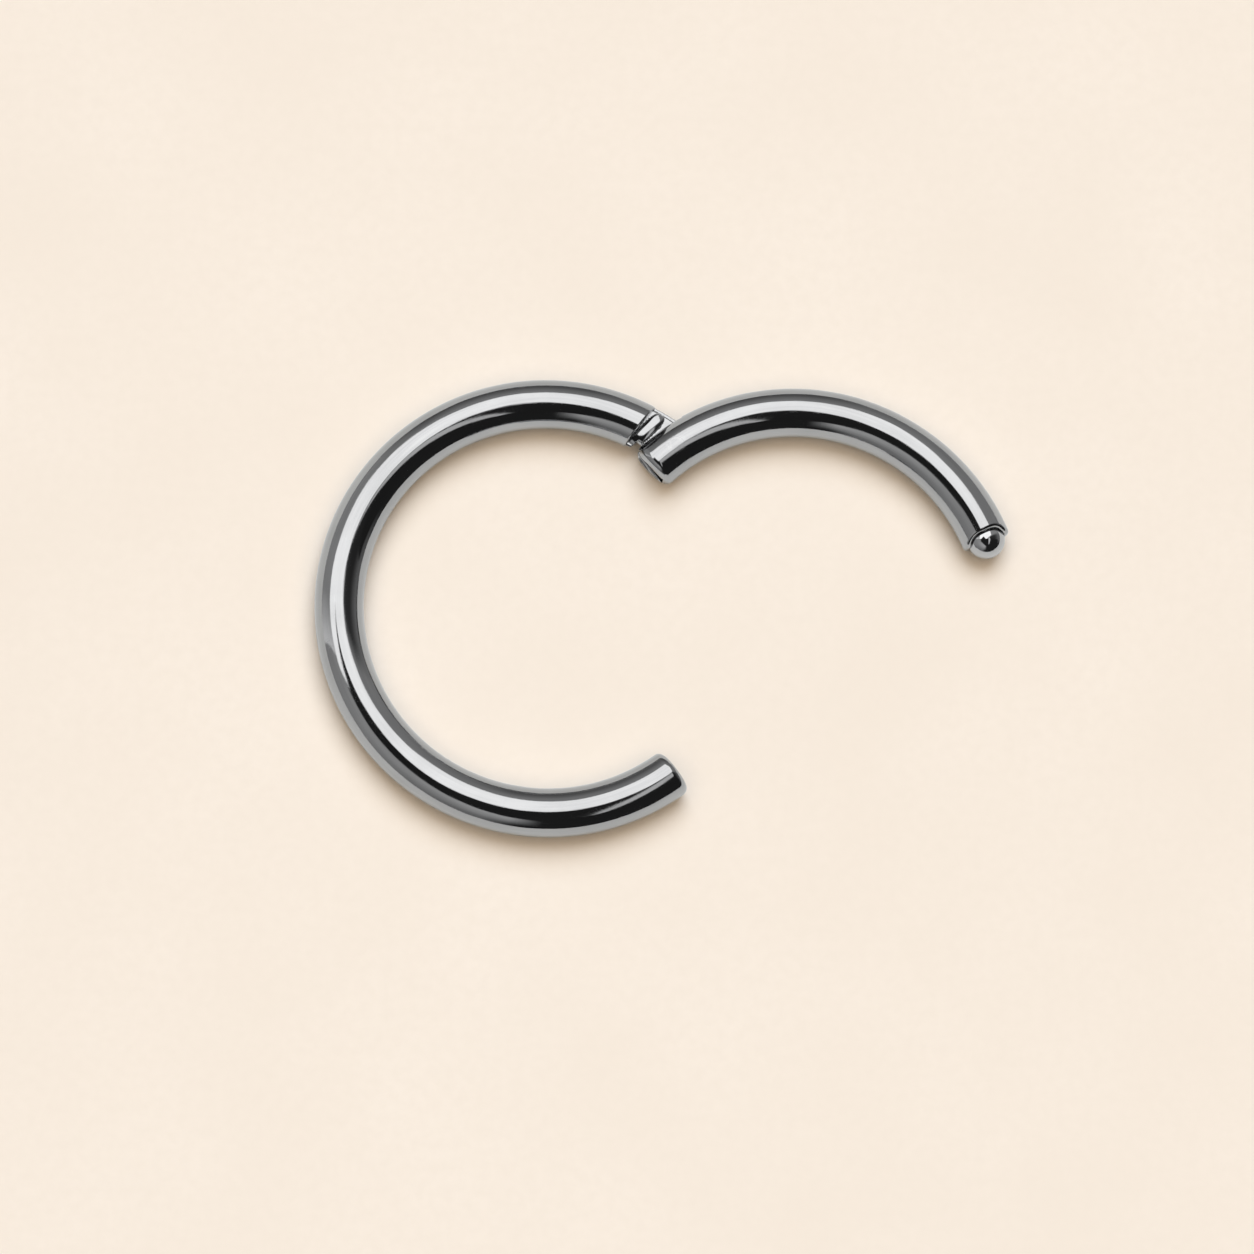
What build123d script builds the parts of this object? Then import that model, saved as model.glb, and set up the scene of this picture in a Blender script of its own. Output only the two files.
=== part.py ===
from build123d import *

import os
from math import acos, atan2, cos, degrees, hypot, radians, sin, sqrt

# Hinged segment ring of round polished steel wire, lying flat and swung open.
#
# The long curve of wire, ring_body, stands round the origin. The short curve, swing_segment, turns about an
# upright pin and carries the ball that clicks into the ring's other end. Both have the same curve, so that the
# closed ring is a true circle. Millimetres, +Z up, the wire resting on z = 0, and angles in degrees,
# counter-clockwise seen from above, about the ring's centre.

# The wire and the ring
inner_diameter = 12.0
wire_diameter = 1.6

# Where things are round the closed ring
pivot_angle = 51.6
closure_angle = -52.4
open_angle = 73.5
closure_gap = 0.03

# The hinge: a tongue on the ring, a pocket in the segment and a pin through both
tongue_thickness = 0.45
tongue_tip_radius = 0.62
tongue_taper_length = 0.5
tongue_rounding = 0.15
tongue_side_relief = 0.02
shoulder_distance = 1.35
ear_length = 1.08
pocket_side_clearance = 0.03
pocket_wall_clearance = 0.03
pocket_floor_clearance = 0.03
pocket_corner_radius = 0.5
pin_diameter = 0.5
pin_running_clearance = 0.02

# The click closure: a ball in a cup, and its seat in the ring's end
ball_diameter = 1.25
ball_sink = 0.1
cup_clearance = 0.01
seat_clearance = 0.03

# Edges
closure_rounding = 0.25
ear_rounding = 0.28
lip_rounding = 0.14
shoulder_rounding = 0.05

# A cut goes this far past the wire, and an edge is looked for this near to its place
cut_margin = 0.5
edge_finder = 0.001

wire_radius = wire_diameter / 2
ring_radius = inner_diameter / 2 + wire_radius
half_tongue = tongue_thickness / 2
tongue_radius = wire_radius - tongue_side_relief
half_pocket = half_tongue + pocket_side_clearance
pocket_wall = tongue_tip_radius + pocket_wall_clearance
pocket_floor = tongue_radius + pocket_floor_clearance
pin_radius = pin_diameter / 2
ball_radius = ball_diameter / 2
cut_width = wire_radius + cut_margin


def arc_degrees(length):
    """The angle that a length takes up along the middle of the wire."""
    return degrees(length / ring_radius)


def spot(centre, radius, angle):
    """The point at this radius and angle about centre, halfway up the wire."""
    return Vector(centre.X + radius * cos(radians(angle)), centre.Y + radius * sin(radians(angle)), wire_radius)


def cross_plane(centre, angle):
    """The upright plane across a wire curved about centre: its origin is in the wire's middle, X points outwards."""
    outwards = Vector(cos(radians(angle)), sin(radians(angle)), 0)
    along = Vector(sin(radians(angle)), -cos(radians(angle)), 0)
    return Plane(origin=spot(centre, ring_radius, angle), x_dir=outwards, z_dir=along)


def hinge_plane(turn):
    """The level plane at the pivot, halfway up the wire: X runs from the ring into the segment's wire."""
    angle = pivot_angle + turn
    return Plane(origin=pivot, x_dir=(sin(radians(angle)), -cos(radians(angle)), 0), z_dir=(0, 0, 1))


ring_centre = Vector(0, 0, 0)
pivot = spot(ring_centre, ring_radius, pivot_angle)
pin_axis = Axis(pivot, (0, 0, 1))

# The segment's curve when it is swung open
segment_centre = spot(pivot, ring_radius, pivot_angle + 180 + open_angle)
segment_axis = Axis(segment_centre, (0, 0, 1))
free_angle = closure_angle + arc_degrees(closure_gap)
ear_angle = pivot_angle + arc_degrees(ear_length)
ball_angle = free_angle + arc_degrees(ball_sink)
ball_centre = spot(segment_centre, ring_radius, ball_angle + open_angle)

# The seat's centre is where the ball comes to when the ring is closed
seat_centre = spot(ring_centre, ring_radius, ball_angle)
seat_reach = seat_centre - pivot
seat_direction = degrees(atan2(seat_reach.Y, seat_reach.X))
seat_radius = ball_radius + seat_clearance
seat_run_out = degrees(2 * seat_radius / seat_reach.length)

# The tongue's outer side leaves the wire here, and meets the round tip along a tangent
taper_start = sqrt((ring_radius + tongue_radius) ** 2 - tongue_taper_length**2) - ring_radius
taper_reach = hypot(tongue_taper_length, taper_start)
tangent_angle = degrees(atan2(taper_start, -tongue_taper_length) - acos(tongue_tip_radius / taper_reach))


def on_tip(angle):
    """A point on the tongue's round tip, in the hinge plane."""
    return (tongue_tip_radius * cos(radians(angle)), tongue_tip_radius * sin(radians(angle)))


# The long curve of wire, with its tongue and the ball's seat
with BuildPart() as ring_body:
    with BuildSketch(cross_plane(ring_centre, pivot_angle)):
        Circle(wire_radius)
    revolve(axis=Axis.Z, revolution_arc=closure_angle + 360 - pivot_angle)
    with BuildSketch(hinge_plane(0)):
        with Locations(((cut_width - shoulder_distance) / 2, 0)):
            Rectangle(cut_width + shoulder_distance, 2 * cut_width)
    extrude(amount=wire_radius, both=True, mode=Mode.SUBTRACT)

    # Both ends are round-edged
    shoulder_line = Axis(hinge_plane(0).from_local_coords((-shoulder_distance, 0, 0)), hinge_plane(0).x_dir)
    fillet(ring_body.edges().filter_by_position(shoulder_line, -edge_finder, edge_finder), shoulder_rounding)
    closure_top = spot(ring_centre, ring_radius, closure_angle) + Vector(0, 0, wire_radius)
    fillet(ring_body.edges().sort_by_distance(closure_top)[0], closure_rounding)

    # The tongue, as wide as the wire on its outer side, rooted a shoulder's length inside it
    tongue_start = pivot_angle - arc_degrees(tongue_tip_radius + cut_margin)
    tongue_end = pivot_angle + arc_degrees(2 * shoulder_distance)
    with BuildSketch(cross_plane(ring_centre, tongue_start)) as tongue_section:
        Circle(tongue_radius)
        Rectangle(wire_diameter, tongue_thickness, mode=Mode.INTERSECT)
        fillet(tongue_section.vertices(), tongue_rounding)
    revolve(axis=Axis.Z, revolution_arc=tongue_end - tongue_start)

    # The tongue's tapered outer side, round tip and straight inner side
    with BuildSketch(hinge_plane(0)):
        with BuildLine():
            far = tongue_tip_radius + 2 * cut_margin
            Polyline((-tongue_taper_length, taper_start), on_tip(tangent_angle))
            ThreePointArc(on_tip(tangent_angle), on_tip(0), on_tip(-90))
            Polyline(
                on_tip(-90),
                (-shoulder_distance, -tongue_tip_radius),
                (-shoulder_distance, -cut_width),
                (far, -cut_width),
                (far, cut_width),
                (-tongue_taper_length, cut_width),
                (-tongue_taper_length, taper_start),
            )
        make_face()
    extrude(amount=wire_radius, both=True, mode=Mode.SUBTRACT)

    with BuildSketch(hinge_plane(0)):
        Circle(pin_radius + pin_running_clearance)
    extrude(amount=wire_radius, both=True, mode=Mode.SUBTRACT)

    # The seat, relieved along the way that the ball swings in
    with Locations(seat_centre):
        Sphere(seat_radius, mode=Mode.SUBTRACT)
    seat_line = Vector(cos(radians(seat_direction)), sin(radians(seat_direction)), 0)
    swing_line = Vector(sin(radians(seat_direction)), -cos(radians(seat_direction)), 0)
    with BuildSketch(Plane(origin=seat_centre, x_dir=seat_line, z_dir=swing_line)):
        Circle(seat_radius)
    revolve(axis=pin_axis, revolution_arc=seat_run_out, mode=Mode.SUBTRACT)

ring_body.part.label = "ring_body"

# The short curve of wire, with its pocket and the ball's cup
with BuildPart() as swing_segment:
    with BuildSketch(cross_plane(segment_centre, free_angle + open_angle)):
        Circle(wire_radius)
    revolve(axis=segment_axis, revolution_arc=ear_angle - free_angle)
    ear_top = spot(segment_centre, ring_radius, ear_angle + open_angle) + Vector(0, 0, wire_radius)
    fillet(swing_segment.edges().sort_by_distance(ear_top)[0], ear_rounding)
    free_top = spot(segment_centre, ring_radius, free_angle + open_angle) + Vector(0, 0, wire_radius)
    fillet(swing_segment.edges().sort_by_distance(free_top)[0], lip_rounding)

    # The pocket that the tongue turns in, open to the segment's end and to its outer side
    pocket_length = ear_length + cut_margin + pocket_floor
    pocket_width = pocket_wall + cut_width
    with BuildSketch(hinge_plane(open_angle)) as pocket:
        with Locations((pocket_floor - pocket_length / 2, cut_width - pocket_width / 2)):
            Rectangle(pocket_length, pocket_width)
        inner_corner = pocket.vertices().group_by(Axis.Y)[0].sort_by(Axis.X)[-1]
        fillet(inner_corner, pocket_corner_radius)
    extrude(amount=half_pocket, both=True, mode=Mode.SUBTRACT)

    with BuildSketch(hinge_plane(open_angle)):
        Circle(pin_radius)
    extrude(amount=wire_radius, both=True, mode=Mode.SUBTRACT)

    # The ball's cup, with the sphere's seam turned away from its mouth
    with Locations(ball_centre):
        Sphere(ball_radius + cup_clearance, rotation=(0, 0, free_angle + open_angle + 90), mode=Mode.SUBTRACT)

swing_segment.part.label = "swing_segment"

# The pin, its ends filed flush with the wire
with BuildPart() as hinge_pin:
    with BuildSketch(hinge_plane(open_angle)):
        Circle(pin_radius)
    extrude(amount=wire_radius, both=True)
    with BuildSketch(cross_plane(segment_centre, pivot_angle + open_angle - arc_degrees(wire_diameter))):
        Circle(wire_radius)
    revolve(axis=segment_axis, revolution_arc=2 * arc_degrees(wire_diameter), mode=Mode.INTERSECT)

hinge_pin.part.label = "hinge_pin"

# The ball that clicks into the ring's end
with BuildPart() as clicker_ball:
    with Locations(ball_centre):
        Sphere(ball_radius)

clicker_ball.part.label = "clicker_ball"

os.makedirs("parts", exist_ok=True)
export_step(ring_body.part, "parts/ring_body.step")
export_step(swing_segment.part, "parts/swing_segment.step")
export_step(hinge_pin.part, "parts/hinge_pin.step")
export_step(clicker_ball.part, "parts/clicker_ball.step")
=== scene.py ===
from math import asin, atan2, ceil, cos, degrees, pi, radians, sin, sqrt, tau

import bmesh
import bpy
from mathutils import Matrix, Vector
from mathutils.kdtree import KDTree


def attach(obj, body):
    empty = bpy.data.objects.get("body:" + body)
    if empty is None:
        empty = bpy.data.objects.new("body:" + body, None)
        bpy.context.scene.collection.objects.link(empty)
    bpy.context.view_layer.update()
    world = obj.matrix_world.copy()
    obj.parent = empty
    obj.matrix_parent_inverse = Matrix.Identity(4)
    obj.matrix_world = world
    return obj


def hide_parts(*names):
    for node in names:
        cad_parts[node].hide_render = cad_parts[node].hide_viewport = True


# A hinged segment ring of round polished wire, lying open on a pale table.
#
# The wire's shapes are worked out in millimetres and put down in metres. Angles are in degrees,
# counter-clockwise seen from above. Near the hinge, "along" is the distance from the pin in the direction
# that runs from the ring into the segment, and "offset" is the distance outwards from the middle of the
# wire. Heights are from the middle of the wire too, until a finished piece is raised to the table.

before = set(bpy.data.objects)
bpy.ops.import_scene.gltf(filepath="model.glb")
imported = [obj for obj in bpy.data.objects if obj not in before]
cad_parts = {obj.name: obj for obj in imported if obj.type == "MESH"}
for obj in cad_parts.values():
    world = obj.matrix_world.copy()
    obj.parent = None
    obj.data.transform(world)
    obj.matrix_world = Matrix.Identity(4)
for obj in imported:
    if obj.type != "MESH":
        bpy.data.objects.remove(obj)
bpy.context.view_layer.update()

MM = 0.001

# The wire and the two curves bent from it
inner_diameter = 12.0
wire_diameter = 1.6
pivot_angle = 51.6
closure_angle = -52.4
open_angle = 73.5
closure_gap = 0.03

# The ring's shoulder at the hinge, and the tongue that stands out from it
shoulder_distance = 1.35
shoulder_rounding = 0.05
tongue_thickness = 0.45
tongue_side_relief = 0.02
tongue_tip_radius = 0.62
tongue_taper_length = 0.5
tongue_taper_end = 0.1
tongue_root = 0.3
tongue_edge = 0.03
tongue_inner_edge = 0.12
tongue_bore_clearance = 0.02
tongue_bevel = 0.14
tongue_bevel_drop = 0.2

# Where the tongue changes: between two places along it, its inner edge sharpens and its face rises about the
# pin, and between two distances from the segment's end its inner side draws in
edge_sharpens = (-1.0, -0.6)
face_rises = (-0.55, -0.3)
side_draws_in = (0.12, 0.03)

# The cushion on the tongue's face
cushion_rise = 0.065
cushion_crest = -1.19
cushion_middle = -0.08
cushion_lean = 0.14
cushion_to_ring = 0.14
cushion_to_pin = 0.34
cushion_half_length = 0.7
cushion_roundness = (2.3, 2.8)

# The segment's end at the hinge, its pocket and the pin
ear_length = 1.08
ear_rounding = 0.28
pocket_side_clearance = 0.03
pocket_wall_clearance = 0.03
pocket_floor_clearance = 0.03
pocket_lip = 0.06
pocket_lip_turn = 0.9
pocket_mouth = 0.1
pin_diameter = 0.5
pin_seam = 0.0008
pin_edge = 0.002

# The click closure
ball_diameter = 1.25
ball_sink = 0.1
cup_clearance = 0.01
lip_rounding = 0.13
closure_rounding = 0.25
seat_clearance = 0.03
rim_edge = 0.04
ball_notch = 0.3
notch_sides = (0.25, 1.0)

# A wire's ends are shaped apart from its plain curve, over these lengths
shoulder_stretch = 1.2
closure_stretch = 0.6
ear_stretch = 0.5
lip_stretch = 0.9

# What is cut away reaches this far past the wire, and this far past the segment's end
cut_margin = 0.4
pocket_overrun = 0.3

# How finely the metal is divided
wire_sides = 144
wire_step = 0.12
rounding_steps = 8
shoulder_steps = 12
cup_steps = 28
tongue_points = 90
tongue_stations = 80
tip_stations = 24
tool_sides = 96
seat_steps = 24
swing_steps = 12
pocket_lip_steps = 6
pocket_steps = 34
pin_rows = 8
ball_subdivisions = 6
flat_ring_share = 0.8

# Points this near each other become one: on the long wires, on small shapes, and along a bent grid's seam
wire_weld = 0.0012
small_weld = 0.0002
seam_weld = 0.001

# A corner this near the round surface and facing its way this closely takes the wire's exact direction
surface_match = 0.004
facing_match = 0.97

# Edges that turn more than this many degrees stay sharp, and wear reaches this far from them
sharp_turn = 30
wear_width = 0.12

wire_radius = wire_diameter / 2
ring_radius = inner_diameter / 2 + wire_radius
tongue_radius = wire_radius - tongue_side_relief
half_tongue = tongue_thickness / 2
half_pocket = half_tongue + pocket_side_clearance
pocket_wall = tongue_tip_radius + pocket_wall_clearance
pocket_floor = tongue_radius + pocket_floor_clearance
pin_radius = pin_diameter / 2
ball_radius = ball_diameter / 2
seat_radius = ball_radius + seat_clearance


def arc_degrees(length):
    """The angle that a length takes up along the middle of the wire."""
    return degrees(length / ring_radius)


def polar(centre, radius, angle, height=0.0):
    """The point at this radius and angle about a centre, this high above the wire's middle."""
    return Vector((centre.x + radius * cos(radians(angle)), centre.y + radius * sin(radians(angle)), height))


ring_centre = Vector((0, 0, 0))
pivot = polar(ring_centre, ring_radius, pivot_angle)
segment_centre = polar(pivot, ring_radius, pivot_angle + 180 + open_angle)
free_angle = closure_angle + arc_degrees(closure_gap) + open_angle
segment_pivot_angle = pivot_angle + open_angle
ball_angle = free_angle + arc_degrees(ball_sink)
ball_centre = polar(segment_centre, ring_radius, ball_angle)


# Points of a bent wire

def wire_point(centre, angle, radius, turn):
    """A point at this angle along a bent wire, this far from its middle line and at this turn round it."""
    return polar(centre, ring_radius + radius * cos(turn), angle, radius * sin(turn))


def even_turns(sides):
    """The turns of this many points spread evenly round a circle, in radians."""
    return [tau * side / sides for side in range(sides)]


def smooth(low, high, value):
    """From 0 below low to 1 above high, with no kink."""
    share = min(max((value - low) / (high - low), 0.0), 1.0)
    return share * share * (3 - 2 * share)


def hinge_angle(at_pivot, along, reach, straightness):
    """The angle of a point near the pin: square to the bent wire at 0, and to the line there at 1."""
    square = at_pivot - degrees(asin(along / reach))
    radial = at_pivot - arc_degrees(along)
    return radial + (square - radial) * straightness


def hinge_point(centre, at_pivot, along, offset, height, straightness):
    """A point near the pin, this far along, this far outwards of the wire's middle line and this high."""
    reach = ring_radius + offset
    return polar(centre, reach, hinge_angle(at_pivot, along, reach, straightness), height)


def rounding(radius):
    """A rounded edge's quarter circle: pairs of inset from the outer face and distance from the end face."""
    quarter = [pi / 2 * step / rounding_steps for step in range(rounding_steps + 1)]
    return [(radius * (1 - cos(a)), radius * (1 - sin(a))) for a in quarter]


# Meshes

def skin_rings(metal, rings, close_first=False, close_last=False):
    """Joins rings of equally many points into a skin. A closed end gets one point in its middle."""
    made = [[metal.verts.new(point * MM) for point in ring] for ring in rings]
    for near, far in zip(made, made[1:]):
        for k in range(len(near)):
            metal.faces.new((near[k - 1], near[k], far[k], far[k - 1]))
    for closed, ring in ((close_first, made[0]), (close_last, made[-1])):
        if closed:
            middle = metal.verts.new(sum((v.co for v in ring), Vector()) / len(ring))
            for k in range(len(ring)):
                metal.faces.new((ring[k - 1], ring[k], middle))
    return made


def weld(metal, gap):
    """Merges what meets, drops what has no area left and turns every face outwards."""
    bmesh.ops.remove_doubles(metal, verts=metal.verts[:], dist=gap * MM)
    bmesh.ops.dissolve_degenerate(metal, edges=metal.edges[:], dist=gap * MM / 10)
    bmesh.ops.recalc_face_normals(metal, faces=metal.faces[:])
    if metal.calc_volume(signed=True) < 0:
        bmesh.ops.reverse_faces(metal, faces=metal.faces[:])


def mesh_object(name, metal):
    """A mesh object made from a bmesh, which is used up."""
    mesh = bpy.data.meshes.new(name)
    metal.to_mesh(mesh)
    metal.free()
    made = bpy.data.objects.new(name, mesh)
    bpy.context.collection.objects.link(made)
    return made


def raise_to_table(piece):
    """Moves a piece's points up by half the wire, so that the wire lies on the table."""
    piece.data.transform(Matrix.Translation((0, 0, wire_radius * MM)))


def cut(piece, tool, operation):
    """Cuts a tool out of a piece, or joins it on, and leaves only the piece."""
    change = piece.modifiers.new("cut", "BOOLEAN")
    change.operation = operation
    change.solver = "EXACT"
    change.object = tool
    settle(piece)
    bpy.data.objects.remove(tool)


def settle(piece):
    """Turns a piece with modifiers into the plain mesh that they give."""
    evaluated = piece.evaluated_get(bpy.context.evaluated_depsgraph_get())
    mesh = bpy.data.meshes.new_from_object(evaluated)
    piece.modifiers.clear()
    piece.data = mesh


# The tree that bends a round wire

def new_socket(tree, name, kind, direction="INPUT", value=None):
    """Adds a named input or output to a node tree."""
    socket = tree.interface.new_socket(name=name, in_out=direction, socket_type=kind)
    if value is not None:
        socket.default_value = value
    return socket


def node(tree, kind, inputs=(), **settings):
    """Adds a node. A value given for an input is either a socket to link from or a plain value."""
    made = tree.nodes.new(kind)
    for name, value in settings.items():
        setattr(made, name, value)
    for key, value in dict(inputs).items():
        if isinstance(value, bpy.types.NodeSocket):
            tree.links.new(value, made.inputs[key])
        else:
            made.inputs[key].default_value = value
    return made


def maths(tree, operation, *values):
    """A Math node, as its one output."""
    return node(tree, "ShaderNodeMath", dict(enumerate(values)), operation=operation).outputs[0]


def bent_wire_tree():
    """A round wire bent to an arc: a grid wrapped round the arc's line, closed along its seam."""
    tree = bpy.data.node_groups.new("bent wire", "GeometryNodeTree")
    new_socket(tree, "Geometry", "NodeSocketGeometry", "OUTPUT")
    new_socket(tree, "Centre", "NodeSocketVector")
    new_socket(tree, "Curve Radius", "NodeSocketFloat", value=ring_radius * MM)
    new_socket(tree, "Wire Radius", "NodeSocketFloat", value=wire_radius * MM)
    new_socket(tree, "Start Angle", "NodeSocketFloat")
    new_socket(tree, "Sweep Angle", "NodeSocketFloat")
    new_socket(tree, "Steps", "NodeSocketInt")
    new_socket(tree, "Sides", "NodeSocketInt", value=wire_sides)
    new_socket(tree, "Material", "NodeSocketMaterial")
    given = tree.nodes.new("NodeGroupInput").outputs

    grid = node(tree, "GeometryNodeMeshGrid", {
        "Size X": 1.0,
        "Size Y": 1.0,
        "Vertices X": maths(tree, "ADD", given["Steps"], 1.0),
        "Vertices Y": maths(tree, "ADD", given["Sides"], 1.0),
    })
    place = node(tree, "ShaderNodeSeparateXYZ", {0: node(tree, "GeometryNodeInputPosition").outputs[0]})
    share_along = maths(tree, "ADD", place.outputs["X"], 0.5)
    share_round = maths(tree, "ADD", place.outputs["Y"], 0.5)
    angle = maths(tree, "MULTIPLY_ADD", share_along, given["Sweep Angle"], given["Start Angle"])
    turn = maths(tree, "MULTIPLY", share_round, tau)
    outwards = maths(tree, "COSINE", turn)
    reach = maths(tree, "MULTIPLY_ADD", outwards, given["Wire Radius"], given["Curve Radius"])
    on_arc = node(tree, "ShaderNodeCombineXYZ", {
        "X": maths(tree, "MULTIPLY", reach, maths(tree, "COSINE", angle)),
        "Y": maths(tree, "MULTIPLY", reach, maths(tree, "SINE", angle)),
        "Z": maths(tree, "MULTIPLY", maths(tree, "SINE", turn), given["Wire Radius"]),
    })
    placed = node(tree, "ShaderNodeVectorMath", {0: on_arc.outputs[0], 1: given["Centre"]}, operation="ADD")
    wrapped = node(tree, "GeometryNodeSetPosition", {
        "Geometry": grid.outputs["Mesh"],
        "Position": placed.outputs[0],
    })
    closed = node(tree, "GeometryNodeMergeByDistance", {
        "Geometry": wrapped.outputs[0],
        "Distance": seam_weld * MM,
    })
    rounded = node(tree, "GeometryNodeSetShadeSmooth", {"Geometry": closed.outputs[0]})
    real = node(tree, "GeometryNodeRealizeInstances", {"Geometry": rounded.outputs[0]})
    finished = node(tree, "GeometryNodeSetMaterial", {
        "Geometry": real.outputs[0],
        "Material": given["Material"],
    })
    node(tree, "NodeGroupOutput", {"Geometry": finished.outputs[0]})
    return tree


def bent_wire(tree, centre, start, end, material):
    """The plain mesh of a round wire between two angles of its curve."""
    made = bpy.data.objects.new("wire", bpy.data.meshes.new("wire"))
    bpy.context.collection.objects.link(made)
    bend = made.modifiers.new("bend", "NODES")
    bend.node_group = tree
    values = {
        "Centre": tuple(centre * MM),
        "Start Angle": radians(start),
        "Sweep Angle": radians(end - start),
        "Steps": ceil(radians(end - start) * ring_radius / wire_step),
        "Material": material,
    }
    for item in tree.interface.items_tree:
        if item.in_out == "INPUT" and item.name in values:
            bend[item.identifier] = values[item.name]
    settle(made)
    metal = bmesh.new()
    metal.from_mesh(made.data)
    bpy.data.objects.remove(made)
    return metal


# The ends of a wire

def square_cut(turn):
    """A plain end stands back nowhere."""
    return 0.0


def over_ball(turn):
    """How far the segment's free end stands back above and below the ball, so that the ball shows."""
    return ball_notch * smooth(*notch_sides, abs(sin(turn)))


def flat_face(edge):
    """The hollow of a plain end, which has none: one ring to divide its face."""
    return lambda back: [((wire_radius - edge) * flat_ring_share, 0.0)]


def hollow_ball(radius, sink, edge, first_radius):
    """The hollow that a ball sits in, this far inside the end: a softened rim, then the ball's own curve."""
    mouth = sqrt(radius**2 - sink**2)
    rings = [(first_radius + (mouth + edge - first_radius) * k / 3, 0.0) for k in (1, 2)]
    rings += [(mouth + edge - edge * sin(a), edge * (1 - cos(a))) for a in (0, pi / 6, pi / 3, pi / 2)]
    start = asin((edge - sink) / radius)
    for k in range(1, cup_steps):
        a = start + (pi / 2 - start) * k / cup_steps
        rings.append((radius * cos(a), radius * sin(a) + sink))
    return rings


def turned_end(metal, centre, end_angle, inwards, start_angle, edge, hollow, set_back=square_cut):
    """A wire's end with a rounded rim, a flat face and a hollow.

    The hollow lists pairs of radius and depth for an end that stands back this far.
    """
    turns = [(t, set_back(t)) for t in even_turns(wire_sides)]
    steps = max(2, ceil(abs(radians(end_angle - start_angle)) * ring_radius / wire_step))
    rings = []
    for k in range(steps):
        ring = []
        for t, back in turns:
            rim = end_angle + inwards * arc_degrees(edge + back)
            angle = start_angle + (rim - start_angle) * k / steps
            ring.append(wire_point(centre, angle, wire_radius, t))
        rings.append(ring)
    for inset, depth in rounding(edge):
        ring = []
        for t, back in turns:
            angle = end_angle + inwards * arc_degrees(depth + back)
            ring.append(wire_point(centre, angle, wire_radius - inset, t))
        rings.append(ring)
    middle = polar(centre, ring_radius, end_angle)
    outwards = polar(Vector(), 1, end_angle)
    inward_line = polar(Vector(), 1, end_angle + 90 * inwards)
    upwards = Vector((0, 0, 1))
    hollows = [hollow(back) for t, back in turns]
    for k in range(len(hollows[0])):
        ring = []
        for (t, back), pairs in zip(turns, hollows):
            radius, depth = pairs[k]
            spoke = outwards * cos(t) + upwards * sin(t)
            ring.append(middle + inward_line * (back + depth) + spoke * radius)
        rings.append(ring)
    skin_rings(metal, rings, close_last=True)


# The ring, with its tongue

def shoulder_ring(along, radius, straightness):
    """The points round the ring's wire near its shoulder, where it runs out straight to the hinge."""
    return [
        hinge_point(ring_centre, pivot_angle, along, radius * cos(t), radius * sin(t), straightness)
        for t in even_turns(wire_sides)
    ]


def ring_metal(tree, material):
    """The long curve of wire, from its shoulder at the hinge to its end at the closure."""
    closure_end = closure_angle + 360
    start = shoulder_distance + shoulder_stretch
    plain_start = pivot_angle + arc_degrees(start)
    plain_end = closure_end - arc_degrees(closure_stretch)
    metal = bent_wire(tree, ring_centre, plain_start, plain_end, material)
    rings = []
    for k in range(shoulder_steps):
        along = -start + (shoulder_stretch - shoulder_rounding) * k / shoulder_steps
        rings.append(shoulder_ring(along, wire_radius, smooth(0, 1, k / shoulder_steps)))
    for inset, depth in rounding(shoulder_rounding):
        rings.append(shoulder_ring(-(shoulder_distance + depth), wire_radius - inset, 1))
    skin_rings(metal, rings, close_last=True)
    flat = flat_face(closure_rounding)
    turned_end(metal, ring_centre, closure_end, -1, plain_end, closure_rounding, flat)
    weld(metal, wire_weld)
    return metal


def tongue_sides(along):
    """How far the tongue reaches outwards and inwards of the wire's middle line."""
    outer = sqrt((ring_radius + tongue_radius) ** 2 - along**2) - ring_radius
    tip = sqrt(max(tongue_tip_radius**2 - max(along, 0.0) ** 2, 0.0))
    tapered = smooth(-tongue_taper_length, tongue_taper_end, along)
    wide = -tongue_radius - (ring_radius - sqrt(ring_radius**2 - along**2))
    drawn_in = smooth(-ear_length - side_draws_in[0], -ear_length - side_draws_in[1], along)
    return outer + (tip - outer) * tapered, wide + (-tip - wide) * drawn_in


def cushion_height(along, offset):
    """The height of the tongue's face: a web that falls away to its sides, and the oval cushion on it."""
    from_crest = along - cushion_crest - cushion_lean * (offset - cushion_middle)
    reach = cushion_to_pin if from_crest > 0 else cushion_to_ring
    along_share = abs(from_crest / reach) ** cushion_roundness[0]
    across_share = abs((offset - cushion_middle) / cushion_half_length) ** cushion_roundness[1]
    fall = sqrt(max(1 - (offset / wire_radius) ** 2, 0.0))
    web = (half_tongue - cushion_rise) * fall
    return web + cushion_rise * sqrt(max(1 - along_share - across_share, 0.0))


def tongue_height(along, offset, outer, inner):
    """The height of the tongue's face between its sides, with the cushion, the bevel and soft edges."""
    height = cushion_height(along, offset)
    bevel = 1 - min(max((outer - offset) / tongue_bevel, 0.0), 1.0)
    height = max(height - tongue_bevel_drop * bevel, tongue_edge)
    height = max(height, half_tongue * smooth(*face_rises, along))
    sharpened = smooth(*edge_sharpens, along)
    inner_edge = tongue_inner_edge + (tongue_edge - tongue_inner_edge) * sharpened
    for from_side, edge in ((outer - offset, tongue_edge), (offset - inner, inner_edge)):
        short = 1 - min(max(from_side / edge, 0.0), 1.0)
        height -= min(edge, height) * (1 - sqrt(1 - short**2))
    return height


def tongue_point(along, offset, height):
    """A point of the tongue, on the straight lines along and across the wire at the pin."""
    tangent = polar(Vector(), 1, pivot_angle - 90)
    outwards = polar(Vector(), 1, pivot_angle)
    return pivot + tangent * along + outwards * offset + Vector((0, 0, height))


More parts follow.
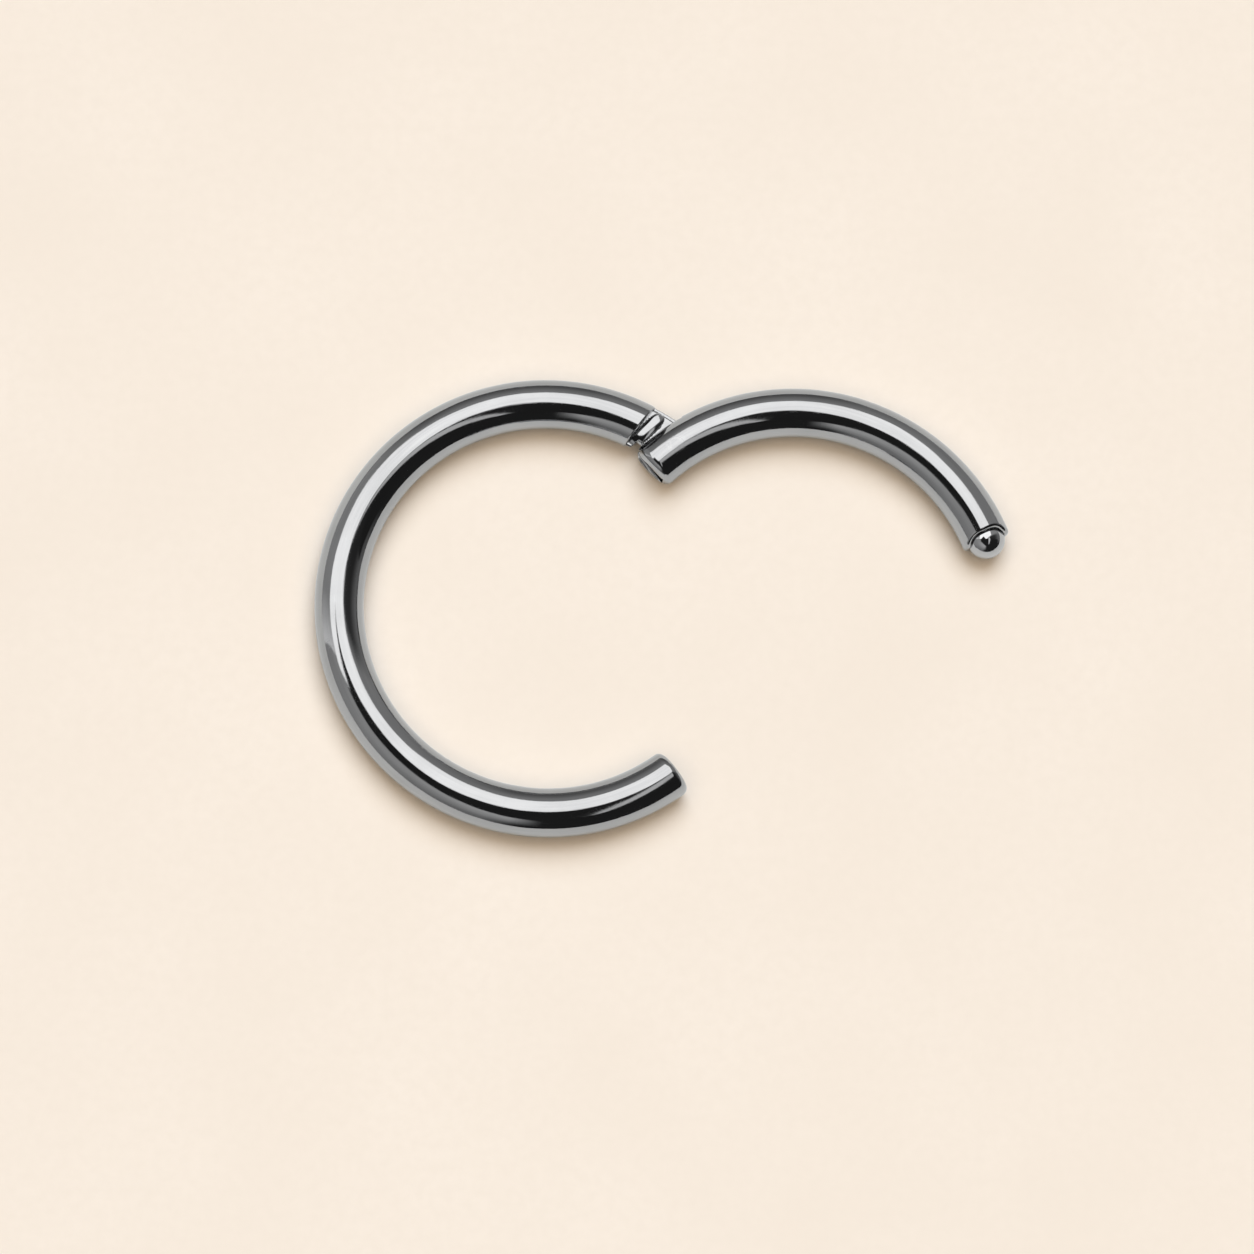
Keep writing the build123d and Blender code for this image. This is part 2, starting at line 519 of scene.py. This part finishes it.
def tongue_metal():
    """The tongue: a tab that carries an oval cushion on each face and ends in a round tip about the pin."""
    metal = bmesh.new()
    first = -(shoulder_distance + tongue_root)
    stations = [first - first * k / tongue_stations for k in range(tongue_stations)]
    stations += [tongue_tip_radius * sin(pi / 2 * k / tip_stations) for k in range(tip_stations)]
    rings = []
    for along in stations:
        outer, inner = tongue_sides(along)
        face = []
        for k in range(tongue_points + 1):
            offset = (outer + inner) / 2 + (outer - inner) / 2 * cos(pi * k / tongue_points)
            face.append((offset, tongue_height(along, offset, outer, inner)))
        top = [tongue_point(along, offset, height) for offset, height in face]
        bottom = [tongue_point(along, offset, -height) for offset, height in reversed(face)]
        rings.append(top + bottom)
    skin_rings(metal, rings, close_first=True, close_last=True)
    weld(metal, small_weld)
    return metal


def upright_pin(name, radius, reach):
    """An upright cylinder about the hinge's pin, used to cut a hole."""
    metal = bmesh.new()
    turns = even_turns(tool_sides)
    rings = [[pivot + Vector((radius * cos(t), radius * sin(t), h)) for t in turns] for h in (-reach, reach)]
    skin_rings(metal, rings, close_first=True, close_last=True)
    weld(metal, small_weld)
    return mesh_object(name, metal)


def seat_tool():
    """What the ball clears in the ring's end: the ball where it seats, and the way it swings in."""
    seated = polar(ring_centre, ring_radius, closure_angle + arc_degrees(closure_gap + ball_sink))
    arm = seated - pivot
    direction = degrees(atan2(arm.y, arm.x))
    metal = bmesh.new()
    turns = even_turns(tool_sides)
    rings = []
    outwards = polar(Vector(), 1, direction)
    back = polar(Vector(), 1, direction - 90)
    for k in range(1, seat_steps):
        a = pi / 2 * k / seat_steps
        middle = seated + back * seat_radius * cos(a)
        radius = seat_radius * sin(a)
        rings.append([middle + outwards * radius * cos(t) + Vector((0, 0, radius * sin(t))) for t in turns])
    run_out = degrees(2 * seat_radius / arm.length)
    for k in range(swing_steps + 1):
        angle = direction + run_out * k / swing_steps
        rings.append([
            polar(pivot, arm.length + seat_radius * cos(t), angle, seat_radius * sin(t))
            for t in turns
        ])
    skin_rings(metal, rings, close_first=True, close_last=True)
    weld(metal, small_weld)
    return mesh_object("seat tool", metal)


# The segment, with its pocket

def side_reach(radius, height):
    """Half the width of a round wire at this height."""
    return sqrt(max(radius**2 - height**2, 0.0))


def pocket_outline(along, lift):
    """The section of the pocket's space: its walls, and its lips that curve out to the wire's surface."""
    half = half_pocket + lift
    middle = side_reach(wire_radius - pocket_lip, half + pocket_lip)
    tilt = atan2(half + pocket_lip, middle)
    upper = [(sqrt((ring_radius - pocket_wall) ** 2 + along**2) - ring_radius, half)]
    for k in range(pocket_lip_steps + 1):
        a = -pi / 2 + (tilt + pi / 2) * pocket_lip_turn * k / pocket_lip_steps
        upper.append((middle + pocket_lip * cos(a), half + pocket_lip * (1 + sin(a))))
    out = wire_radius + cut_margin
    upper.append((out * cos(tilt), out * sin(tilt)))
    outline = upper + [(offset, -height) for offset, height in reversed(upper)]
    return [
        hinge_point(segment_centre, segment_pivot_angle, along, offset, height, 1)
        for offset, height in outline
    ]


def pocket_tool():
    """What is cut out of the segment for the tongue to turn in."""
    metal = bmesh.new()
    rings = [pocket_outline(-(ear_length + pocket_overrun), pocket_mouth)]
    for inset, depth in reversed(rounding(pocket_mouth)):
        rings.append(pocket_outline(-ear_length + depth, inset))
    start = -ear_length + pocket_mouth
    for k in range(1, pocket_steps + 1):
        rings.append(pocket_outline(start + (pocket_floor - start) * k / pocket_steps, 0.0))
    made = skin_rings(metal, rings)
    for end in (made[0], made[-1]):
        metal.faces.new(end)
    bmesh.ops.recalc_face_normals(metal, faces=metal.faces[:])
    return mesh_object("pocket", metal)


def segment_metal(tree, material):
    """The short curve of wire, from the ball's cup to its end at the hinge."""
    ear_end = segment_pivot_angle + arc_degrees(ear_length)
    plain_start = free_angle + arc_degrees(lip_stretch)
    plain_end = ear_end - arc_degrees(ear_stretch)
    metal = bent_wire(tree, segment_centre, plain_start, plain_end, material)
    turned_end(metal, segment_centre, ear_end, -1, plain_end, ear_rounding, flat_face(ear_rounding))

    def cup(back):
        rim = wire_radius - lip_rounding
        return hollow_ball(ball_radius + cup_clearance, ball_sink - back, rim_edge, rim)

    turned_end(metal, segment_centre, free_angle, 1, plain_start, lip_rounding, cup, over_ball)
    weld(metal, wire_weld)
    return metal


# The pin and the ball

def pin_metal():
    """The hinge pin, its ends dressed to the curve of the wire with hardly an edge."""
    metal = bmesh.new()
    radius = pin_radius - pin_seam
    radii = [radius * k / pin_rows for k in range(1, pin_rows)] + [radius - pin_edge, radius]
    rings = []
    for up in (1, -1):
        rows = []
        for r in radii:
            row = []
            for t in even_turns(tool_sides):
                spot = pivot + Vector((r * cos(t), r * sin(t), 0))
                offset = (spot - segment_centre).length - ring_radius
                drop = pin_edge if r == radius else 0.0
                row.append(spot + Vector((0, 0, up * (side_reach(wire_radius, offset) - drop))))
            rows.append(row)
        rings += rows if up > 0 else rows[::-1]
    skin_rings(metal, rings, close_first=True, close_last=True)
    weld(metal, small_weld)
    return metal


def ball_metal():
    """The ball, divided evenly all over."""
    metal = bmesh.new()
    bmesh.ops.create_icosphere(metal, subdivisions=ball_subdivisions, radius=ball_radius * MM)
    bmesh.ops.translate(metal, verts=metal.verts[:], vec=ball_centre * MM)
    return metal


# Finishes

def finish_group(name, inputs, outputs):
    """A shader node group with named inputs and outputs: its tree, and its inputs to link from."""
    tree = bpy.data.node_groups.new(name, "ShaderNodeTree")
    for label, kind, value in inputs:
        new_socket(tree, label, kind, value=value)
    for label, kind in outputs:
        new_socket(tree, label, kind, "OUTPUT")
    return tree, tree.nodes.new("NodeGroupInput").outputs


def ranged(tree, value, low, high, from_low=0.0, from_high=1.0):
    """A value carried over from one range to another, and held at its ends."""
    given = {0: value, 1: from_low, 2: from_high, 3: low, 4: high}
    return node(tree, "ShaderNodeMapRange", given).outputs[0]


def blended(tree, share, first, second, kind="MIX"):
    """Two colours mixed."""
    given = {0: share, 6: first, 7: second}
    settings = {"data_type": "RGBA", "blend_type": kind, "clamp_factor": True}
    return node(tree, "ShaderNodeMix", given, **settings).outputs[2]


def in_millimetres(tree, place):
    """A piece's own coordinates, in millimetres."""
    scaled = node(tree, "ShaderNodeVectorMath", {0: place, "Scale": 1 / MM}, operation="SCALE")
    return scaled.outputs[0]


def drawn_lines_group():
    """Fine lines and soft streaks that follow a bent wire, as drawing and polishing leave them."""
    tree, given = finish_group("drawn lines", (
        ("Place", "NodeSocketVector", None),
        ("Curve Centre", "NodeSocketVector", None),
        ("Curve Radius", "NodeSocketFloat", ring_radius),
        ("Line Width", "NodeSocketFloat", 0.05),
        ("Line Length", "NodeSocketFloat", 3.0),
    ), (("Lines", "NodeSocketFloat"), ("Streaks", "NodeSocketFloat")))
    place = in_millimetres(tree, given["Place"])
    arm = node(tree, "ShaderNodeVectorMath", {0: place, 1: given["Curve Centre"]}, operation="SUBTRACT")
    x, y, z = node(tree, "ShaderNodeSeparateXYZ", {0: arm.outputs[0]}).outputs
    squared = maths(tree, "ADD", maths(tree, "MULTIPLY", x, x), maths(tree, "MULTIPLY", y, y))
    outwards = maths(tree, "SUBTRACT", maths(tree, "SQRT", squared), given["Curve Radius"])
    results = []
    for widen, detail in ((1.0, 4.0), (5.0, 2.0)):
        width = maths(tree, "MULTIPLY", given["Line Width"], widen)
        stretched = node(tree, "ShaderNodeCombineXYZ", {
            0: maths(tree, "DIVIDE", x, given["Line Length"]),
            1: maths(tree, "DIVIDE", y, given["Line Length"]),
            2: maths(tree, "DIVIDE", outwards, width),
        }).outputs[0]
        results.append(node(tree, "ShaderNodeTexNoise", {
            "Vector": stretched,
            "W": maths(tree, "DIVIDE", z, width),
            "Scale": 1.0,
            "Detail": detail,
            "Roughness": 0.55,
        }, noise_dimensions="4D").outputs[0])
    node(tree, "NodeGroupOutput", {
        "Lines": ranged(tree, results[0], 0.0, 1.0, from_low=0.3, from_high=0.7),
        "Streaks": ranged(tree, results[1], 0.0, 1.0, from_low=0.35, from_high=0.68),
    })
    return tree


def handling_marks_group():
    """Faint smudges and short scratches of a polished thing that has been handled."""
    tree, given = finish_group("handling marks", (
        ("Place", "NodeSocketVector", None),
        ("Smudge Size", "NodeSocketFloat", 1.4),
        ("Scratch Size", "NodeSocketFloat", 0.5),
    ), (("Smudges", "NodeSocketFloat"), ("Scratches", "NodeSocketFloat")))
    place = in_millimetres(tree, given["Place"])
    smudges = node(tree, "ShaderNodeTexNoise", {
        "Vector": place,
        "Scale": maths(tree, "DIVIDE", 1.0, given["Smudge Size"]),
        "Detail": 3.0,
        "Distortion": 0.6,
    }).outputs[0]

    # Scratches are the edges of cells that are bent, then squeezed to run mostly one way
    bend = node(tree, "ShaderNodeTexNoise", {"Vector": place, "Scale": 0.8, "Detail": 1.0}).outputs[1]
    bent = node(tree, "ShaderNodeVectorMath", {
        0: bend,
        1: (2.2, 2.2, 2.2),
        2: place,
    }, operation="MULTIPLY_ADD").outputs[0]
    squeezed = node(tree, "ShaderNodeVectorMath", {0: bent, 1: (1.0, 9.0, 4.0)}, operation="MULTIPLY")
    cells = node(tree, "ShaderNodeTexVoronoi", {
        "Vector": squeezed.outputs[0],
        "Scale": maths(tree, "DIVIDE", 0.3, given["Scratch Size"]),
    }, feature="DISTANCE_TO_EDGE").outputs["Distance"]
    node(tree, "NodeGroupOutput", {
        "Smudges": ranged(tree, smudges, 0.0, 1.0, from_low=0.45, from_high=0.72),
        "Scratches": ranged(tree, cells, 1.0, 0.0, from_low=0.0, from_high=0.035),
    })
    return tree


def edge_wear_group():
    """How worn a spot is: the painted closeness to an edge, broken up so that no line looks ruled."""
    tree, given = finish_group("edge wear", (
        ("Place", "NodeSocketVector", None),
        ("Edge", "NodeSocketFloat", 0.0),
        ("Amount", "NodeSocketFloat", 0.6),
    ), (("Wear", "NodeSocketFloat"),))
    place = in_millimetres(tree, given["Place"])
    chips = node(tree, "ShaderNodeTexNoise", {"Vector": place, "Scale": 9.0, "Detail": 4.0}).outputs[0]
    kept = ranged(tree, chips, 0.1, 1.0, from_low=0.35, from_high=0.6)
    broken = maths(tree, "MULTIPLY", given["Edge"], kept)
    node(tree, "NodeGroupOutput", {"Wear": maths(tree, "MULTIPLY", broken, given["Amount"])})
    return tree


drawn_lines = drawn_lines_group()
handling_marks = handling_marks_group()
edge_wear = edge_wear_group()

# How far lines, streaks, smudges, scratches and wear change the steel's colour, roughness and height
deep_tone = 0.86
bright_tone = 1.12
line_tint = 0.35
smudge_tint = 0.4
line_roughness = 0.025
smudge_roughness = 0.03
scratch_roughness = 0.05
wear_roughness = 0.12
streak_height = 2.5
scratch_height = -0.3


def polished_steel(name, colour, curve_centre, gloss, line_width, line_length, line_depth):
    """Polished steel with drawn lines, streaks, smudges, scratches and edges that are worn a little."""
    material = bpy.data.materials.new(name)
    material.use_nodes = True
    tree = material.node_tree
    shader = tree.nodes["Principled BSDF"]
    shader.inputs["Metallic"].default_value = 1.0
    place = node(tree, "ShaderNodeTexCoord").outputs["Object"]
    lines = node(tree, "ShaderNodeGroup", node_tree=drawn_lines)
    marks = node(tree, "ShaderNodeGroup", node_tree=handling_marks)
    wear = node(tree, "ShaderNodeGroup", node_tree=edge_wear)
    for group in (lines, marks, wear):
        tree.links.new(place, group.inputs["Place"])
    edge = node(tree, "ShaderNodeAttribute", attribute_name="edge").outputs["Fac"]
    tree.links.new(edge, wear.inputs["Edge"])
    lines.inputs["Curve Centre"].default_value = tuple(curve_centre)
    lines.inputs["Line Width"].default_value = line_width
    lines.inputs["Line Length"].default_value = line_length

    deep = (*[c * deep_tone for c in colour], 1)
    bright = (*[min(c * bright_tone, 1.0) for c in colour], 1)
    tone = blended(tree, lines.outputs["Streaks"], (*colour, 1), deep)
    tone = blended(tree, ranged(tree, lines.outputs["Lines"], 0.0, line_tint), tone, bright)
    tone = blended(tree, ranged(tree, marks.outputs["Smudges"], 0.0, smudge_tint), tone, deep)
    tone = blended(tree, wear.outputs["Wear"], tone, bright)
    tree.links.new(tone, shader.inputs["Base Color"])

    rough = ranged(tree, lines.outputs["Lines"], gloss, gloss + line_roughness)
    rough = maths(tree, "MULTIPLY_ADD", marks.outputs["Smudges"], smudge_roughness, rough)
    rough = maths(tree, "MULTIPLY_ADD", marks.outputs["Scratches"], scratch_roughness, rough)
    rough = maths(tree, "MULTIPLY_ADD", wear.outputs["Wear"], wear_roughness, rough)
    tree.links.new(rough, shader.inputs["Roughness"])

    height = maths(tree, "MULTIPLY_ADD", lines.outputs["Streaks"], streak_height, lines.outputs["Lines"])
    height = maths(tree, "MULTIPLY_ADD", marks.outputs["Scratches"], scratch_height, height)
    bump = node(tree, "ShaderNodeBump", {"Strength": 1.0, "Distance": line_depth * MM, "Height": height})
    tree.links.new(bump.outputs[0], shader.inputs["Normal"])
    return material


steel_colour = (0.454, 0.456, 0.46)
ball_colour = (0.542, 0.544, 0.55)
long_lines = {"line_width": 0.05, "line_length": 3.0, "line_depth": 0.0005}
short_lines = {"line_width": 0.09, "line_length": 1.2, "line_depth": 0.0004}
ring_steel = polished_steel("polished ring steel", steel_colour, ring_centre, 0.04, **long_lines)
segment_steel = polished_steel("polished segment steel", steel_colour, segment_centre, 0.04, **long_lines)
pin_steel = polished_steel("filed pin steel", steel_colour, segment_centre, 0.042, **long_lines)
ball_steel = polished_steel("polished ball steel", ball_colour, ball_centre, 0.03, **short_lines)

# The pieces

bend_tree = bent_wire_tree()
ring = mesh_object("polished_ring", ring_metal(bend_tree, ring_steel))
tongue = mesh_object("tongue", tongue_metal())
cut(tongue, upright_pin("bore", pin_radius + tongue_bore_clearance, wire_diameter), "DIFFERENCE")
cut(ring, tongue, "UNION")
cut(ring, seat_tool(), "DIFFERENCE")
segment = mesh_object("polished_segment", segment_metal(bend_tree, segment_steel))
cut(segment, pocket_tool(), "DIFFERENCE")
cut(segment, upright_pin("pin hole", pin_radius, wire_diameter), "DIFFERENCE")
pin = mesh_object("flush_pin", pin_metal())
ball = mesh_object("click_ball", ball_metal())


def wire_normal(point, centre):
    """The way that a bent wire faces at a point near its surface, and how far off the surface that is."""
    arm = Vector((point.x / MM - centre.x, point.y / MM - centre.y, 0))
    reach = arm.length
    outwards = arm / reach
    spoke = outwards * (reach - ring_radius) + Vector((0, 0, point.z / MM))
    return spoke.normalized(), abs(spoke.length - wire_radius)


def true_normals(piece, centre):
    """Gives the round surface its exact directions, so that a cut leaves no ripple in the reflections."""
    mesh = piece.data
    corners = [Vector(corner.vector) for corner in mesh.corner_normals]
    for face in mesh.polygons:
        for corner in face.loop_indices:
            exact, off = wire_normal(mesh.vertices[mesh.loops[corner].vertex_index].co, centre)
            if off < surface_match and exact.dot(face.normal) > facing_match:
                corners[corner] = exact
    mesh.normals_split_custom_set(corners)


def paint_edges(piece):
    """Writes how near each point is to a sharp edge, from 1 on it to 0 at the wear's width."""
    mesh = piece.data
    sharp = {v for edge in mesh.edges if edge.use_edge_sharp for v in edge.vertices}
    near = mesh.attributes.new("edge", "FLOAT", "POINT")
    if not sharp:
        return
    tree = KDTree(len(sharp))
    for v in sharp:
        tree.insert(mesh.vertices[v].co, v)
    tree.balance()
    for vertex in mesh.vertices:
        distance = tree.find(vertex.co)[2] / MM
        near.data[vertex.index].value = 1 - smooth(0.0, wear_width, distance)


pieces = {
    "ring_body": (ring, "ring", "polished_steel", ring_steel, ring_centre),
    "swing_segment": (segment, "segment", "polished_steel", segment_steel, segment_centre),
    "hinge_pin": (pin, "segment", "polished_steel", pin_steel, segment_centre),
    "clicker_ball": (ball, "segment", "ball_steel", ball_steel, None),
}
for cad_node, (piece, body, slot, material, curve_centre) in pieces.items():
    piece.data.materials.clear()
    piece.data.materials.append(material)
    for face in piece.data.polygons:
        face.use_smooth = True
    piece.data.set_sharp_from_angle(angle=radians(sharp_turn))
    paint_edges(piece)
    if curve_centre is not None:
        true_normals(piece, curve_centre)
    raise_to_table(piece)
    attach(piece, body)
    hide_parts(cad_node)


# The table

table_half_width = 600
paper_colour = (0.893, 0.847, 0.795, 1)
paper_cloud = (0.864, 0.814, 0.756, 1)
paper_grain = (0.85, 0.802, 0.745, 1)
grain_depth = 0.004

# The paper's warm colour is evened out where the metal mirrors it, because the photograph's metal is neutral
paper_in_metal = (0.895, 1.0, 1.12, 1)


def table():
    """A plain pale table top: matt paper with a very faint cloud and grain."""
    metal = bmesh.new()
    corners = [(-1, -1), (1, -1), (1, 1), (-1, 1)]
    half = table_half_width * MM
    metal.faces.new([metal.verts.new(Vector((x * half, y * half, 0))) for x, y in corners])
    top = mesh_object("table_top", metal)
    material = bpy.data.materials.new("pale paper")
    material.use_nodes = True
    tree = material.node_tree
    shader = tree.nodes["Principled BSDF"]
    shader.inputs["Roughness"].default_value = 0.9
    shader.inputs["Specular IOR Level"].default_value = 0.1
    place = node(tree, "ShaderNodeTexCoord").outputs["Object"]
    cloud = node(tree, "ShaderNodeTexNoise", {"Vector": place, "Scale": 130.0, "Detail": 3.0}).outputs[0]
    grain = node(tree, "ShaderNodeTexNoise", {"Vector": place, "Scale": 2600.0, "Detail": 4.0}).outputs[0]
    clouded = ranged(tree, cloud, 0.0, 1.0, from_low=0.3, from_high=0.7)
    grained = ranged(tree, grain, 0.0, 0.5, from_low=0.35, from_high=0.7)
    tone = blended(tree, clouded, paper_colour, paper_cloud)
    tone = blended(tree, grained, tone, paper_grain)
    in_metal = node(tree, "ShaderNodeLightPath").outputs["Is Glossy Ray"]
    tone = blended(tree, in_metal, tone, paper_in_metal, "MULTIPLY")
    tree.links.new(tone, shader.inputs["Base Color"])
    bump = node(tree, "ShaderNodeBump", {"Strength": 1.0, "Distance": grain_depth * MM, "Height": grain})
    tree.links.new(bump.outputs[0], shader.inputs["Normal"])
    top.data.materials.append(material)
    return top


table()

# The studio, as the polished metal mirrors it. The walls' brightness is given by direction, in degrees with
# east at 0 and north at 90, for high up and for near the table. It changes from the one to the other between
# these two angles from overhead.
high_wall_tones = {
    -180: 0.42, -160: 0.58, -100: 0.58, -90: 0.022, -20: 0.022, 5: 0.033, 24: 0.05,
    34: 0.34, 75: 0.36, 120: 0.36, 130: 0.39, 165: 0.39, 180: 0.42,
}
low_wall_tones = {
    -180: 0.36, -160: 0.25, -108: 0.23, -98: 0.022, -20: 0.022, 0: 0.18, 24: 0.22,
    34: 0.34, 70: 0.25, 80: 0.13, 115: 0.13, 130: 0.36, 165: 0.39, 180: 0.36,
}
walls_change = (45, 85)

# Panels hang overhead, the later ones in front of the earlier. Their corners go counter-clockwise on a plan:
# east and north of the middle, as shares of the height.
panels = {
    "dark side": {
        "corners": [(-0.76, -0.07), (-0.76, -0.4), (0.0, -1.2), (3, -1.2), (3, -0.07)],
        "softness": 0.05,
        "tone": 0.021,
    },
    "grey strip": {
        "corners": [(0.18, 0.02), (0.26, -0.8), (0.32, -0.8), (0.41, -0.1), (0.3, 0.1)],
        "softness": 0.02,
        "tone": 0.78,
    },
    "soft box": {
        "corners": [(-0.95, -0.07), (0.03, -0.07), (0.52, 0.37), (0.52, 1.0), (0.3, 1.05), (-0.95, 1.05)],
        "softness": 0.03,
        "tone": 1.72,
    },
    "dark corner": {
        "corners": [(-0.7, -0.12), (-0.1, -0.12), (-0.34, 0.19)],
        "softness": 0.02,
        "tone": 0.021,
    },
}

# What lights the table: a warm glow overhead, which fades out over these degrees, and a cool broad window
glow_colour = (1.667, 1.344, 0.995, 1)
glow_fades = (30, 45)
window_energy = 1.97
window_width = 45
window_colour = (0.795, 0.896, 1.0)
window_direction = (0.05, 0.5, 0.9)

# The plan has no place for the horizon, so a direction is taken to rise at least this much
least_rise = 0.02


def tone_ramp(tree, direction, tones):
    """The walls' brightness by compass direction: pairs of degrees, from -180 to 180, and tone."""
    ramp = node(tree, "ShaderNodeValToRGB", {0: direction})
    elements = ramp.color_ramp.elements
    ends = {-180: elements[0], 180: elements[1]}
    elements[0].position = 0
    elements[1].position = 1
    for place, tone in tones.items():
        element = ends.get(place) or elements.new((place + 180) / 360)
        element.color = (tone, tone, tone, 1)
    return ramp.outputs[0]


def eased(tree, value, low, high):
    """A share that rises smoothly from 0 at low to 1 at high."""
    given = {0: value, 1: low, 2: high, 3: 0.0, 4: 1.0}
    return node(tree, "ShaderNodeMapRange", given, interpolation_type="SMOOTHSTEP").outputs[0]


def studio_light():
    """The room: walls and panels for the metal to mirror, and an overhead glow that lights the table."""
    world = bpy.data.worlds.new("studio")
    world.use_nodes = True
    bpy.context.scene.world = world
    tree = world.node_tree
    tree.nodes.clear()
    look = node(tree, "ShaderNodeTexCoord").outputs["Generated"]
    east, north, up = node(tree, "ShaderNodeSeparateXYZ", {0: look}).outputs
    rise = maths(tree, "MAXIMUM", up, least_rise)
    plan_east = maths(tree, "DIVIDE", east, rise)
    plan_north = maths(tree, "DIVIDE", north, rise)

    def inside(corners, softness):
        """Whether a direction lies inside a panel, on the plan: 1 well inside it and 0 outside."""
        mask = 1.0
        for (x, y), (next_x, next_y) in zip(corners, corners[1:] + corners[:1]):
            edge = Vector((y - next_y, next_x - x)).normalized()
            inwards = maths(tree, "MULTIPLY_ADD", plan_east, edge.x, -edge.dot(Vector((x, y))))
            inwards = maths(tree, "MULTIPLY_ADD", plan_north, edge.y, inwards)
            mask = maths(tree, "MULTIPLY", mask, eased(tree, inwards, -softness, softness))
        return mask

    direction = maths(tree, "MULTIPLY_ADD", maths(tree, "ARCTAN2", north, east), 1 / tau, 0.5)
    high_wall = tone_ramp(tree, direction, high_wall_tones)
    low_wall = tone_ramp(tree, direction, low_wall_tones)
    change_high, change_low = [cos(radians(angle)) for angle in walls_change]
    mirrored = blended(tree, eased(tree, up, change_high, change_low), high_wall, low_wall)
    for panel in panels.values():
        tone = panel["tone"]
        mask = inside(panel["corners"], panel["softness"])
        mirrored = blended(tree, mask, mirrored, (tone, tone, tone, 1))

    fade_high, fade_low = [cos(radians(angle)) for angle in glow_fades]
    glow = blended(tree, eased(tree, up, fade_low, fade_high), (0, 0, 0, 1), glow_colour)
    on_table = node(tree, "ShaderNodeLightPath").outputs["Is Diffuse Ray"]
    light = blended(tree, on_table, mirrored, glow)
    room = node(tree, "ShaderNodeBackground", {"Color": light, "Strength": 1.0})
    node(tree, "ShaderNodeOutputWorld", {"Surface": room.outputs[0]})


studio_light()

window_light = bpy.data.lights.new("window light", "SUN")
window_light.energy = window_energy
window_light.angle = radians(window_width)
window_light.color = window_colour
window = bpy.data.objects.new("window light", window_light)
bpy.context.collection.objects.link(window)
window.visible_glossy = False
window.rotation_mode = "QUATERNION"
window.rotation_quaternion = Vector(window_direction).to_track_quat("Z", "Y")

# The photograph's view: tipped back a little from straight down, about a line turned in the picture
photo_width = 1254
photo_scale = 30.58
ring_centre_in_photo = (547.2, 607.6)
view_tilt = radians(11)
view_turn = radians(15)
lens_length = 200
sensor = 36
nearest_seen = 0.01
furthest_seen = 10

across = Vector((cos(view_turn), -sin(view_turn), 0))
down = Vector((-sin(view_turn) * cos(view_tilt), -cos(view_turn) * cos(view_tilt), -sin(view_tilt)))
to_camera = Vector((-sin(view_tilt) * sin(view_turn), -sin(view_tilt) * cos(view_turn), cos(view_tilt)))
image_right = across * cos(view_turn) - down * sin(view_turn)
image_down = across * sin(view_turn) + down * cos(view_turn)
right_shift = (photo_width / 2 - ring_centre_in_photo[0]) / photo_scale
down_shift = (photo_width / 2 - ring_centre_in_photo[1]) / photo_scale
aim = Vector((0, 0, wire_radius)) + image_right * right_shift + image_down * down_shift
distance = photo_width / photo_scale / sensor * lens_length

camera_data = bpy.data.cameras.new("camera")
camera_data.lens = lens_length
camera_data.sensor_width = sensor
camera = bpy.data.objects.new("camera", camera_data)
bpy.context.collection.objects.link(camera)
camera.matrix_world = Matrix.Translation((aim + to_camera * distance) * MM) @ Matrix((
    (image_right.x, -image_down.x, to_camera.x, 0),
    (image_right.y, -image_down.y, to_camera.y, 0),
    (image_right.z, -image_down.z, to_camera.z, 0),
    (0, 0, 0, 1),
))
camera_data.clip_start = nearest_seen
camera_data.clip_end = furthest_seen
bpy.context.scene.camera = camera
bpy.context.scene.view_settings.view_transform = "Standard"
